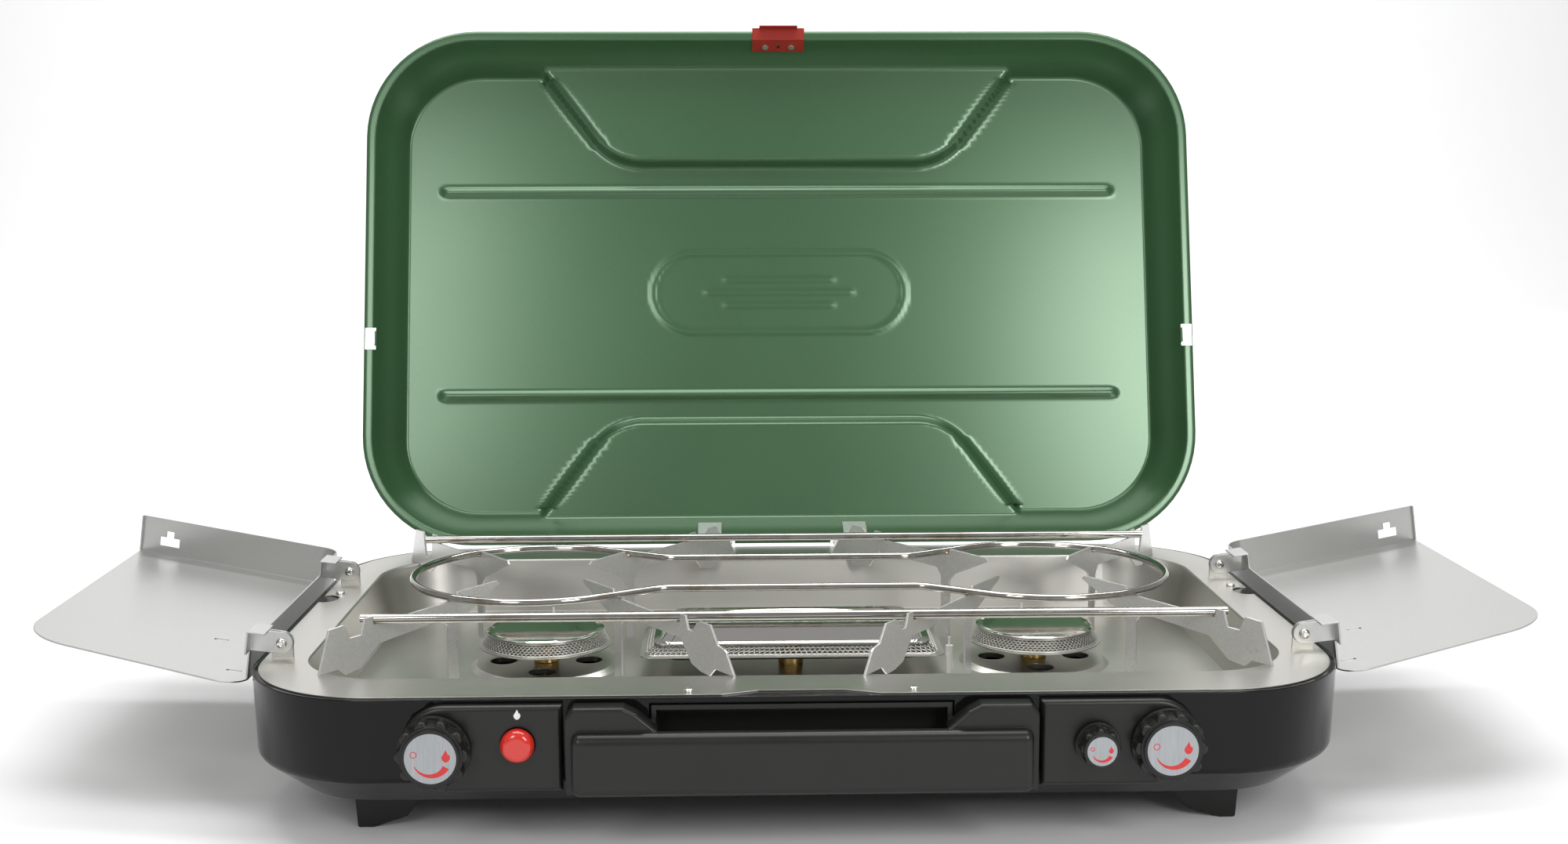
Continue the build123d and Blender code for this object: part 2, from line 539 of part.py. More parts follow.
def lid_pressing():
    rim, top = LID_RIM_Z, LID_RIM_Z + LID_DEPTH
    panel_z, pad_z = top - SHEET, top - SHEET - LID_PAD_RAISE
    mouth = (LID_W - 2 * LID_FLANGE, LID_D - 2 * LID_FLANGE, LID_R - LID_FLANGE)
    panel = (LID_PANEL_W, LID_PANEL_D, LID_PANEL_R)
    skin = [s + k * SHEET for s, k in zip(mouth, (2, 2, 1))]
    crown = [s + k * SHEET for s, k in zip(panel, (2, 2, 1))]
    air = taper(mouth, rim - 0.01, panel, panel_z) - lid_pads(0, pad_z, panel_z)
    lid = taper(skin, rim, crown, top)
    ribs = [((-LID_RIB_HALF, y, top), (LID_RIB_HALF, y, top)) for y in (-LID_RIB_Y, LID_RIB_Y)]
    for a, b in ribs:
        air -= rod(a, b, LID_RIB_R)
    lid -= air
    for a, b in ribs:
        lid -= rod(a, b, LID_RIB_R - SHEET)
    lid -= lid_pads(-SHEET, pad_z + SHEET, top + 0.01)
    flange = slab(LID_W, LID_D, LID_R, rim, rim + SHEET) - slab(*mouth, rim - 1, rim + 2)
    for side in (-1, 1):
        x = side * HINGE_X
        flange -= block((x - 20, x + 20), (LID_D / 2 - LID_FLANGE + SHEET + 0.1, 218), (rim - 1, rim + 7))
    return lid + flange


def make_latch(lid):
    """The latch plate, bent over the lid's front edge and riveted to its sloping side."""
    rim, front, plate = LID_RIM_Z, -LID_D / 2, 1.0
    slope = atan2(LID_D / 2 - LID_FLANGE - LID_PANEL_D / 2, LID_DEPTH - SHEET)
    along, inward = (sin(slope), cos(slope)), (cos(slope), -sin(slope))
    bend = front + LID_FLANGE + 0.05
    end = (bend + 14 * along[0], rim + 14 * along[1])
    outline = [
        (front - 2.5, rim), (bend, rim), end, (end[0] + plate * inward[0], end[1] + plate * inward[1]),
        (bend + 0.63, rim - plate), (front - 2.5, rim - plate),
    ]
    latch = prism_yz(outline, -22, 22)
    latch += block((-16, 16), (front - 2.5, front - 1.5), (rim - 8, rim))
    latch -= block((-1.2, 1.2), (front + 5, front + 16), (rim + 5, rim + 9.5))
    seat = (bend + 8 * along[0], rim + 8 * along[1])

    def pin(x, start, stop, radius):
        ends = [(x, seat[0] + d * inward[0], seat[1] + d * inward[1]) for d in (start, stop)]
        return rod(*ends, radius)

    rivets = []
    for x in (-11, 11):
        latch -= pin(x, -3, 3, 1.5)
        lid -= pin(x, -3, 3, 1.5)
        rivets.append(pin(x, -1.8, 2, 1.5) + pin(x, plate, 2.2, 2.6) + pin(x, -2, -0.85, 2.6))
    add("lid_shell", opened(lid), GREEN)
    add("lid_latch", opened(latch), RED)
    add("lid_latch_rivets", opened(Compound(children=rivets)), CHROME)


def make_lid():
    make_latch(lid_pressing())
    rim, clips = LID_RIM_Z, []
    for side in (-1, 1):
        clip = block((side * 335, side * 344), (36, 54), (rim - 0.8, rim))
        clips.append(clip + block((side * 335, side * 336), (39, 51), (rim - 7, rim)))
    add("lid_clips", opened(Compound(children=clips)), SILVER)


def make_hinges():
    lid_leaves, case_leaves, pins = [], [], []
    leaf_outline = [(214, -0.3), (214, 0.9), (209.3, 0.9), (199, 22), (198.1, 21.6), (208.5, -0.3)]
    for side in (-1, 1):
        x = side * HINGE_X
        pins.append(rod((x - 18.5, HINGE_Y, HINGE_Z), (x + 18.5, HINGE_Y, HINGE_Z), PIN_R))
        leaf = rod((x - 9.7, HINGE_Y, HINGE_Z), (x + 9.7, HINGE_Y, HINGE_Z), KNUCKLE_R)
        leaf += prism_yz(leaf_outline, x - 9.7, x + 9.7)
        leaf -= rod((x - 20, HINGE_Y, HINGE_Z), (x + 20, HINGE_Y, HINGE_Z), PIN_R + RUN_GAP)
        lid_leaves.append(opened(leaf))
        base = block((x - 18, x + 18), (194, 205), (0, 1.2))
        for end in (-1, 1):
            low, high = sorted((x + end * 10.1, x + end * 18))
            knuckle = rod((low, HINGE_Y, HINGE_Z), (high, HINGE_Y, HINGE_Z), KNUCKLE_R)
            knuckle += block((low, high), (204, HINGE_Y - 1), (0, 1.2))
            knuckle -= rod((low - 1, HINGE_Y, HINGE_Z), (high + 1, HINGE_Y, HINGE_Z), PIN_R)
            base += knuckle
        case_leaves.append(base)
    add("hinge_leaves_lid", Compound(children=lid_leaves), SILVER)
    add("hinge_leaves_case", Compound(children=case_leaves), SILVER)
    add("hinge_pins", Compound(children=pins), CHROME)


def make_screws():
    screws = []
    for x, y in SCREWS:
        head = rod((x, y, 0), (x, y, 2), SCREW_HEAD_R)
        head = fillet(head.edges().sort_by(Axis.Z)[-1], 1.6)
        screws.append(head + rod((x, y, -4.5), (x, y, 0.5), SCREW_R))
    add("rim_screws", Compound(children=screws), SILVER)


# ---- build and write ------------------------------------------------------------------------
def main():
    add("case_shell", make_case(), BLACK)
    add("top_pan", make_pan(), STEEL)
    make_feet()
    make_controls()
    make_gas_train()
    make_burners()
    make_grate()
    make_windscreens()
    make_lid()
    make_hinges()
    make_screws()
    os.makedirs("parts", exist_ok=True)
    for name, shape in parts.items():
        export_step(Pos(0, -CENTRE_Y, RIM_HEIGHT) * shape, f"parts/{name}.step")


main()
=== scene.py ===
"""The looks of the three-burner camp stove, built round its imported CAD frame.

Lengths named here are millimetres on the stove's own plan: x to the right, y away from the user,
z up, counted from the middle of the pan at the height of its rim.
"""
import json
from math import cos, hypot, pi, radians, sin, sqrt

import bmesh
import bpy
from mathutils import Matrix, Vector


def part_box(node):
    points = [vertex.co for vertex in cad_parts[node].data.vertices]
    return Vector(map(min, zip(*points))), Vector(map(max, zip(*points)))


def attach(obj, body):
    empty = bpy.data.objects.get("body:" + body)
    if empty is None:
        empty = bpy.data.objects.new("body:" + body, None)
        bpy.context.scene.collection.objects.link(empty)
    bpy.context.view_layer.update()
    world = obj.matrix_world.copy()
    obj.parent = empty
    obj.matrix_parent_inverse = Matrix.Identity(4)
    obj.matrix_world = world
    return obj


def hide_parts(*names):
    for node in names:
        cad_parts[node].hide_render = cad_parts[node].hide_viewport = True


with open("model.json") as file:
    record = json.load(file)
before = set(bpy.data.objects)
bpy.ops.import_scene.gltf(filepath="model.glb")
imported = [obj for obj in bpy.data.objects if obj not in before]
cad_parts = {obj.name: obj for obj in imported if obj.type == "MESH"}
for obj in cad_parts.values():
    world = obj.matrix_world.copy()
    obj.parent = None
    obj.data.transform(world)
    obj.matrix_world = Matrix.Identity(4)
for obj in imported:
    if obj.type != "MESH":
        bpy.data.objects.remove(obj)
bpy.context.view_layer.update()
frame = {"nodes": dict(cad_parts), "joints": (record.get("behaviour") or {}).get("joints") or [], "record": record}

# ---- places worked out from the frame --------------------------------------------------------
CASE_LOW, CASE_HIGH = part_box("case_shell")
MIDDLE_X = (CASE_LOW.x + CASE_HIGH.x) / 2
MIDDLE_Y = (CASE_LOW.y + CASE_HIGH.y) / 2
PAN_OVER_CASE = 0.0005
RIM = CASE_HIGH.z + PAN_OVER_CASE
MM = 0.001
JOINTS = {joint["name"]: joint for joint in frame["joints"]}


def at(x, y, z):
    """A point of the stove's plan, in metres in the frame."""
    return Vector((MIDDLE_X + x * MM, MIDDLE_Y + y * MM, RIM + z * MM))


def plan(point):
    """A frame point, back on the stove's plan in millimetres."""
    return Vector(((point[0] - MIDDLE_X) / MM, (point[1] - MIDDLE_Y) / MM, (point[2] - RIM) / MM))


# ---- node helpers ----------------------------------------------------------------------------
class Shader:
    """One node material, built up by short calls."""

    def __init__(self, name, colour, metallic, roughness):
        self.material = bpy.data.materials.new(name)
        self.material.use_nodes = True
        self.nodes = self.material.node_tree.nodes
        self.links = self.material.node_tree.links
        self.bsdf = self.nodes["Principled BSDF"]
        self.coords = self.nodes.new("ShaderNodeTexCoord").outputs["Object"]
        self.set(base=colour, metallic=metallic, roughness=roughness)

    def set(self, base=None, metallic=None, roughness=None, **others):
        """Set plain values on the shader's own inputs."""
        names = {"base": "Base Color", "metallic": "Metallic", "roughness": "Roughness"}
        values = {"base": base, "metallic": metallic, "roughness": roughness, **others}
        for key, value in values.items():
            if value is None:
                continue
            socket = self.bsdf.inputs[names.get(key, key.replace("_", " "))]
            if key == "base":
                socket.default_value = (*value, 1)
            else:
                socket.default_value = value

    def node(self, kind, links=(), **settings):
        """A new node, with its settings made and its inputs linked by (input, source) pairs."""
        made = self.nodes.new("ShaderNode" + kind)
        for key, value in settings.items():
            if hasattr(made, key):
                setattr(made, key, value)
            else:
                made.inputs[key.replace("_", " ").title()].default_value = value
        for socket, source in links:
            self.links.new(source, made.inputs[socket])
        return made

    def scaled(self, scale):
        """Object coordinates in metres, stretched by a factor along each axis."""
        mapping = self.node("Mapping", [("Vector", self.coords)])
        mapping.inputs["Scale"].default_value = scale
        return mapping.outputs["Vector"]

    def noise(self, scale, detail=3.0, roughness=0.55):
        made = self.node("TexNoise", [("Vector", self.scaled(scale))])
        made.inputs["Scale"].default_value = 1.0
        made.inputs["Detail"].default_value = detail
        made.inputs["Roughness"].default_value = roughness
        return made.outputs["Fac"]

    def cells(self, scale):
        """A random colour for each cell of a fine grain."""
        made = self.node("TexVoronoi", [("Vector", self.scaled(scale))])
        made.inputs["Scale"].default_value = 1.0
        return made.outputs["Color"]

    def span(self, value, low, high, source_low=0.3, source_high=0.7):
        """A value, mapped from its source range to low and high."""
        made = self.node("MapRange", [("Value", value)])
        made.inputs["From Min"].default_value = source_low
        made.inputs["From Max"].default_value = source_high
        made.inputs["To Min"].default_value = low
        made.inputs["To Max"].default_value = high
        return made.outputs["Result"]

    def blend(self, factor, colour_a, colour_b):
        made = self.node("Mix", data_type="RGBA")
        self.links.new(factor, made.inputs["Factor"])
        for socket, colour in ((6, colour_a), (7, colour_b)):
            if isinstance(colour, tuple):
                made.inputs[socket].default_value = (*colour, 1)
            else:
                self.links.new(colour, made.inputs[socket])
        return made.outputs[2]

    def relief(self, height, distance, strength=1.0, edge=0.0):
        """Bump from a height, over normals rounded at sharp edges by the edge radius."""
        normal = None
        if edge:
            normal = self.node("Bevel", samples=4)
            normal.inputs["Radius"].default_value = edge
            normal = normal.outputs["Normal"]
        if height is not None:
            bump = self.node("Bump", [("Height", height)])
            bump.inputs["Distance"].default_value = distance
            bump.inputs["Strength"].default_value = strength
            if normal is not None:
                self.links.new(normal, bump.inputs["Normal"])
            normal = bump.outputs["Normal"]
        self.links.new(normal, self.bsdf.inputs["Normal"])

    def drive(self, socket, source):
        self.links.new(source, self.bsdf.inputs[socket])


# ---- materials -------------------------------------------------------------------------------
def black_enamel():
    s = Shader("black_enamel", (0.004, 0.004, 0.0045), 0.0, 0.06)
    s.drive("Roughness", s.span(s.noise((9, 9, 9), 4), 0.03, 0.09))
    s.relief(s.noise((70, 70, 70), 2), 0.0006, 0.25, edge=0.0015)
    s.set(Specular_IOR_Level=0.22)
    return s.material


def brushed(name, colour, rough, along, pitch=2600, edge=0.0006, contrast=0.06):
    """Rolled or brushed metal whose fine lines run along one axis."""
    s = Shader(name, colour, 1.0, rough)
    scale = [pitch] * 3
    scale["xyz".index(along)] = 12
    lines = s.noise(tuple(scale), 3, 0.6)
    cloud = s.noise((5, 5, 5), 3)
    dark = tuple(c * (1 - contrast) for c in colour)
    s.drive("Base Color", s.blend(s.span(lines, 0, 1), dark, colour))
    mixed = s.node("Math", [(0, s.span(lines, rough - 0.02, rough + 0.02))], operation="ADD")
    s.links.new(s.span(cloud, -0.03, 0.04), mixed.inputs[1])
    s.drive("Roughness", mixed.outputs[0])
    s.relief(lines, 0.00001, 0.25, edge=edge)
    s.set(Anisotropic=0.3)
    return s.material


def polished_steel():
    s = Shader("polished_steel", (0.70, 0.69, 0.66), 1.0, 0.06)
    s.drive("Roughness", s.span(s.noise((30, 260, 30), 4), 0.03, 0.09))
    s.relief(s.noise((14, 14, 14), 1), 0.0001, 0.05, edge=0.0004)
    return s.material


def chrome_wire():
    s = Shader("chrome_wire", (0.46, 0.445, 0.42), 1.0, 0.12)
    tint = s.span(s.noise((55, 55, 55), 3), 0, 1, 0.52, 0.72)
    s.drive("Base Color", s.blend(tint, (0.46, 0.445, 0.42), (0.33, 0.29, 0.24)))
    s.drive("Roughness", s.span(s.noise((60, 300, 300), 3), 0.06, 0.16))
    s.relief(s.noise((30, 120, 120), 2), 0.00001, 0.2)
    return s.material


def zinc_sheet():
    """Plated sheet with a faint grain and fine pressed lines."""
    s = Shader("zinc_sheet", (0.84, 0.84, 0.825), 0.8, 0.34)
    grain = s.cells((900, 900, 900))
    tone = s.span(s.node("RGBToBW", [("Color", grain)]).outputs["Val"], 0, 1, 0.0, 1.0)
    s.drive("Base Color", s.blend(tone, (0.78, 0.78, 0.765), (0.88, 0.88, 0.865)))
    s.drive("Roughness", s.span(s.noise((40, 40, 40), 4), 0.27, 0.38))
    ribs = s.node("TexWave", [("Vector", s.scaled((1, 1, 1)))], bands_direction="DIAGONAL")
    ribs.inputs["Scale"].default_value = 260.0
    ribs.inputs["Distortion"].default_value = 0.4
    s.relief(ribs.outputs["Fac"], 0.00005, 0.25, edge=0.0005)
    return s.material


def moulded_plastic(name, colour, rough, coat=0.0, specular=0.5):
    s = Shader(name, colour, 0.0, rough)
    s.drive("Roughness", s.span(s.noise((14, 14, 14), 4), rough - 0.05, rough + 0.06))
    s.relief(s.noise((1500, 1500, 1500), 2), 0.00004, 0.5, edge=0.0009)
    s.set(Coat_Weight=coat, Coat_Roughness=0.08, Specular_IOR_Level=specular)
    return s.material


def metallic_paint(name, deep, bright, rough, metallic, coat=0.0):
    """Satin paint with fine metal flake over a slightly uneven layer, under a clear coat of some weight."""
    s = Shader(name, bright, metallic, rough)
    flake = s.node("RGBToBW", [("Color", s.cells((2600, 2600, 2600)))]).outputs["Val"]
    layer = s.noise((9, 9, 9), 1)
    mixed = s.node("Math", [(0, s.span(flake, 0.15, 0.85, 0.0, 1.0))], operation="ADD")
    s.links.new(s.span(layer, -0.12, 0.12, 0.0, 1.0), mixed.inputs[1])
    s.drive("Base Color", s.blend(mixed.outputs[0], deep, bright))
    s.drive("Roughness", s.span(layer, rough - 0.04, rough + 0.04, 0.0, 1.0))
    s.set(Coat_Weight=coat, Coat_Roughness=0.24)
    s.relief(s.noise((420, 420, 420), 2), 0.00003, 0.15, edge=0.0008)
    return s.material


def dial_foil():
    s = Shader("dial_foil", (0.38, 0.39, 0.41), 0.85, 0.36)
    lines = s.noise((2200, 2200, 60), 3, 0.7)
    s.drive("Base Color", s.blend(s.span(lines, 0, 1), (0.33, 0.345, 0.36), (0.42, 0.435, 0.455)))
    s.relief(lines, 0.00002, 0.4)
    return s.material


def ceramic():
    s = Shader("ceramic", (0.80, 0.79, 0.75), 0.0, 0.22)
    s.drive("Roughness", s.span(s.noise((60, 60, 60), 3), 0.15, 0.32))
    s.relief(s.noise((220, 220, 220), 2), 0.00008, 0.3)
    s.set(Coat_Weight=0.5)
    return s.material


def heat_tint():
    """A weld bead: steel with straw and brown oxide."""
    s = Shader("heat_tint", (0.45, 0.33, 0.20), 1.0, 0.35)
    patches = s.span(s.noise((400, 400, 400), 3), 0, 1)
    s.drive("Base Color", s.blend(patches, (0.24, 0.14, 0.08), (0.62, 0.52, 0.38)))
    s.relief(s.noise((900, 900, 900), 3), 0.0002, 0.7)
    return s.material


def printed(name, colour):
    """Screen-printed ink, slightly uneven."""
    s = Shader(name, colour, 0.0, 0.4)
    darker = tuple(c * 0.86 for c in colour)
    s.drive("Base Color", s.blend(s.span(s.noise((700, 700, 700), 3), 0, 1), darker, colour))
    s.relief(s.noise((2000, 2000, 2000), 2), 0.00002, 0.3)
    return s.material


GREEN_DEEP, GREEN_BRIGHT = (0.034, 0.104, 0.037), (0.047, 0.138, 0.051)
RED_DEEP, RED_BRIGHT = (0.30, 0.022, 0.015), (0.40, 0.034, 0.021)
SILVER_DEEP, SILVER_BRIGHT = (0.50, 0.50, 0.485), (0.58, 0.58, 0.565)
MATERIALS = {
    "black_enamel": black_enamel(),
    "stainless_steel": brushed("stainless_steel", (0.52, 0.51, 0.475), 0.33, "x"),
    "polished_steel": polished_steel(),
    "black_plastic": moulded_plastic("black_plastic", (0.011, 0.011, 0.010), 0.32, specular=0.36),
    "dial_foil": dial_foil(),
    "brass": brushed("brass", (0.72, 0.48, 0.18), 0.24, "z", 900, contrast=0.25),
    "ceramic": ceramic(),
    "red_plastic": moulded_plastic("red_plastic", (0.60, 0.022, 0.012), 0.18, coat=0.6),
    "green_paint": metallic_paint("green_paint", GREEN_DEEP, GREEN_BRIGHT, 0.30, metallic=0.4, coat=0.9),
    "red_paint": metallic_paint("red_paint", RED_DEEP, RED_BRIGHT, 0.3, metallic=0.2),
    "silver_paint": metallic_paint("silver_paint", SILVER_DEEP, SILVER_BRIGHT, 0.34, metallic=0.85),
    "chrome_wire": chrome_wire(),
    "zinc_sheet": zinc_sheet(),
    "plated_fasteners": brushed("plated_fasteners", (0.74, 0.72, 0.68), 0.16, "z", 900),
}
WHITE_INK = printed("white_ink", (0.85, 0.85, 0.83))
RED_INK = printed("red_ink", (0.62, 0.03, 0.03))
HEAT_TINT = heat_tint()
SCORCHED = brushed("scorched_steel", (0.10, 0.09, 0.075), 0.45, "z", 1200, contrast=0.3)

for part in frame["record"]["subparts"]:
    node = frame["nodes"][part["node"]]
    node.data.materials.clear()
    node.data.materials.append(MATERIALS[part["material_slot"]])


# ---- mesh helpers ----------------------------------------------------------------------------
def piece(name, points, faces, material, body, smooth=True):
    """A mesh object on a body, from points in frame metres."""
    mesh = bpy.data.meshes.new(name)
    mesh.from_pydata([tuple(p) for p in points], [], faces)
    mesh.validate()
    mesh.update()
    shown = bpy.data.objects.new(name, mesh)
    bpy.context.scene.collection.objects.link(shown)
    mesh.materials.append(material)
    mesh.polygons.foreach_set("use_smooth", [smooth] * len(mesh.polygons))
    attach(shown, body)
    return shown


def outward_normals(shown):
    edit = bmesh.new()
    edit.from_mesh(shown.data)
    bmesh.ops.recalc_face_normals(edit, faces=edit.faces)
    edit.to_mesh(shown.data)
    edit.free()


def thicken(shown, thickness, offset, lining=None):
    """Give a sheet its thickness to one side of it, and that side its own material if there is one."""
    modifier = shown.modifiers.new("thickness", "SOLIDIFY")
    if lining is not None:
        shown.data.materials.append(lining)
        modifier.material_offset = 1
    modifier.thickness = thickness
    modifier.offset = offset
    apply_modifiers(shown)


def apply_modifiers(shown):
    evaluated = shown.evaluated_get(bpy.context.evaluated_depsgraph_get())
    mesh = bpy.data.meshes.new_from_object(evaluated)
    shown.modifiers.clear()
    old, shown.data = shown.data, mesh
    bpy.data.meshes.remove(old)


def ease(value):
    """0 below 0, 1 above 1, smooth between."""
    t = min(1.0, max(0.0, value))
    return t * t * (3 - 2 * t)


def rounded_edge(half_x, half_y, radius, straight_x, straight_y, arc):
    """Points and outward directions round a rounded rectangle, from its lower left going right.

    The four sides take straight_x or straight_y steps, and each corner arc steps."""
    inner_x, inner_y = half_x - radius, half_y - radius
    ring = []
    corners = [
        (inner_x, -inner_y, -90), (inner_x, inner_y, 0), (-inner_x, inner_y, 90), (-inner_x, -inner_y, 180),
    ]
    for index, (cx, cy, start) in enumerate(corners):
        for k in range(arc):
            a = radians(start + 90 * k / arc)
            ring.append((cx + radius * cos(a), cy + radius * sin(a), cos(a), sin(a)))
        next_x, next_y, _ = corners[(index + 1) % 4]
        a = radians(start + 90)
        steps = straight_y if index % 2 == 0 else straight_x
        for k in range(steps):
            x, y = cx + (next_x - cx) * k / steps, cy + (next_y - cy) * k / steps
            ring.append((x + radius * cos(a), y + radius * sin(a), cos(a), sin(a)))
    return ring


# ---- lid -------------------------------------------------------------------------------------
LID_HALF_X, LID_HALF_Y, LID_RADIUS = 345.0, 216.5, 90.6
LID_RIM_HEIGHT, LID_DEEP = 1.2, 42.0
LID_FLANGE, LID_SLOPE_END = 7.0, 28.5
RIB_HALF, RIB_AT, RIB_WIDE, RIB_HIGH = 285.0, 88.0, 5.5, 3.4
PAD_NEAR, PAD_FAR, PAD_NARROW, PAD_WIDE = 111.0, 196.0, 142.0, 206.0
PAD_RAISE, PAD_BORDER, PAD_ROUND = 12.0, 6.5, 22.0
EMBLEM_HALF_X, EMBLEM_HALF_Y, EMBLEM_INSET = 108.0, 34.0, 9.0
EMBLEM_LINE, EMBLEM_HIGH = 3.2, 1.6
BAR_LINE, BAR_HIGH = 3.4, 1.2
BARS = [(-11, 46), (0, 62), (11, 46)]  # each bar's place across the lid and half length
LID_OPEN, LID_SHEET = 104.15, 0.0009
HINGE_GAP_NEAR, HINGE_GAP_FAR, HINGE_GAP_Y, HINGE_GAP_Z = 39.0, 81.0, 210.3, 9.0


def lid_place():
    """The turn from the shut lid, as drawn, to the open lid of the rest pose."""
    hinge = plan(JOINTS["lid_hinge"]["pos_m"])
    to_hinge = Matrix.Translation(at(0, hinge.y, hinge.z))
    return to_hinge @ Matrix.Rotation(-radians(LID_OPEN), 4, "X") @ to_hinge.inverted()


def stadium_distance(x, y, half_x, half_y):
    """Distance outside a stadium's edge, negative inside it."""
    along = max(abs(x) - (half_x - half_y), 0)
    return hypot(along, y) - half_y


def pad_inside(x, y):
    """How far a point is inside the trapezoid pad of its half of the lid."""
    up = abs(y)
    side_x, side_y = PAD_WIDE - PAD_NARROW, PAD_FAR - PAD_NEAR
    run = hypot(side_x, side_y)
    from_side = ((up - PAD_NEAR) * side_x - (abs(x) - PAD_NARROW) * side_y) / run
    from_base = up - PAD_NEAR
    h = max(0.0, min(1.0, 0.5 + 0.5 * (from_side - from_base) / PAD_ROUND))
    return from_side * (1 - h) + from_base * h - PAD_ROUND * h * (1 - h)


def lid_relief(x, y):
    """How far the pressed lid stands in from its deepest plane."""
    raised = PAD_RAISE * ease(pad_inside(x, y) / PAD_BORDER + 0.5)
    rib = hypot(max(abs(x) - RIB_HALF, 0), abs(y) - RIB_AT)
    if rib < RIB_WIDE:
        raised += RIB_HIGH * (0.5 + 0.5 * cos(pi * rib / RIB_WIDE))
    ring = stadium_distance(x, y, EMBLEM_HALF_X, EMBLEM_HALF_Y)
    raised += EMBLEM_HIGH * ease(1 - abs(ring) / EMBLEM_LINE)
    if stadium_distance(x, y, EMBLEM_HALF_X - EMBLEM_INSET, EMBLEM_HALF_Y - EMBLEM_INSET) < 0:
        for offset, length in BARS:
            bar = hypot(max(abs(x) - length, 0), y - offset)
            raised += BAR_HIGH * ease(1 - bar / BAR_LINE)
    return raised


def slope_depth(inside):
    """Depth of the lid's rim and side, by distance in from its edge."""
    t = (inside - LID_FLANGE) / (LID_SLOPE_END - LID_FLANGE)
    if t <= 0:
        return 0.0
    if t >= 1:
        return LID_DEEP
    return LID_DEEP * (t + 0.045 * sin(2 * pi * t))


def make_lid():
    """The pressed lid: rings for its rim and side, then rows across its panel, cut clear of the hinges."""
    place = lid_place()
    steps_x, steps_y, arc = 220, 110, 16
    base = LID_SLOPE_END + 3.5
    half_x, half_y, radius = LID_HALF_X - base, LID_HALF_Y - base, LID_RADIUS - base
    ring = rounded_edge(half_x, half_y, radius, steps_x, steps_y, arc)
    count = len(ring)
    points, faces = [], []

    def lift(x, y, inside):
        """Height over the rim, with the side run softly into the pressed panel."""
        floor = LID_DEEP - lid_relief(x, y)
        depth = slope_depth(inside)
        soft = 2.5
        h = max(0.0, min(1.0, 0.5 + 0.5 * (depth - floor) / soft))
        return depth * (1 - h) + floor * h - soft * h * (1 - h) * 0.5

    insides = [0.0, 0.6, 3.5, 6.2, 7.0, 7.8, 9.0, 11.5, 14, 16.5]
    insides += [19, 21.5, 24, 25.8, 27, 28, 29, 30.4, base]
    for inside in insides:
        grow = base - inside
        for x, y, nx, ny in ring:
            px, py = x + nx * grow, y + ny * grow
            z = LID_RIM_HEIGHT + lift(px, py, inside)
            if inside == 0.0:
                z += 0.5
            points.append(at(px, py, z))
    for k in range(len(insides) - 1):
        for i in range(count):
            j = (i + 1) % count
            faces.append((k * count + i, k * count + j, (k + 1) * count + j, (k + 1) * count + i))
    inner_ring = [(len(insides) - 1) * count + i for i in range(count)]
    # the panel is rows between the ring's left and right halves
    side = arc + steps_y + arc
    rows_right = [inner_ring[i] for i in range(side + 1)]
    left_start = side + steps_x
    rows_left = [inner_ring[(left_start + side - i) % count] for i in range(side + 1)]
    top = [inner_ring[side + k] for k in range(steps_x + 1)][::-1]
    bottom = [inner_ring[(left_start + side + k) % count] for k in range(steps_x + 1)]
    previous = bottom
    for row in range(1, side + 1):
        if row == side:
            current = top
        else:
            a, b = points[rows_left[row]], points[rows_right[row]]
            current = [rows_left[row]]
            for k in range(1, steps_x):
                p = plan(a.lerp(b, k / steps_x))
                points.append(at(p.x, p.y, LID_RIM_HEIGHT + lift(p.x, p.y, LID_HALF_X)))
                current.append(len(points) - 1)
            current.append(rows_right[row])
        for k in range(steps_x):
            faces.append((previous[k], previous[k + 1], current[k + 1], current[k]))
        previous = current
    kept = []
    for face in faces:
        middle = plan(sum((points[i] for i in face), Vector()) / len(face))
        beside = HINGE_GAP_NEAR < abs(middle.x) < HINGE_GAP_FAR
        if not (beside and middle.y > HINGE_GAP_Y and middle.z < HINGE_GAP_Z):
            kept.append(face)
    lid = piece("lid_pressing", [place @ p for p in points], kept, MATERIALS["green_paint"], "lid")
    outward = Vector((0, 0, 1))
    outward.rotate(place.to_3x3())
    if lid.data.polygons[len(kept) // 2].normal.dot(outward) < 0:
        lid.data.flip_normals()
    thicken(lid, LID_SHEET, 1.0)
    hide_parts("lid_shell")


make_lid()


# ---- perforated burner rings -------------------------------------------------------------------
PORT_SHEET, PORT_MARGIN = 0.0007, 0.1
ROUND_ROWS, ROUND_COLUMNS, ROUND_HOLE = 5, 88, 0.4
BAND_ROWS, BAND_COLUMNS, BAND_HOLE = 3, 150, 0.42
BAND_LOW_CORNER, BAND_HIGH_CORNER, BAND_SLOPE = 0.008, 0.007, 0.008


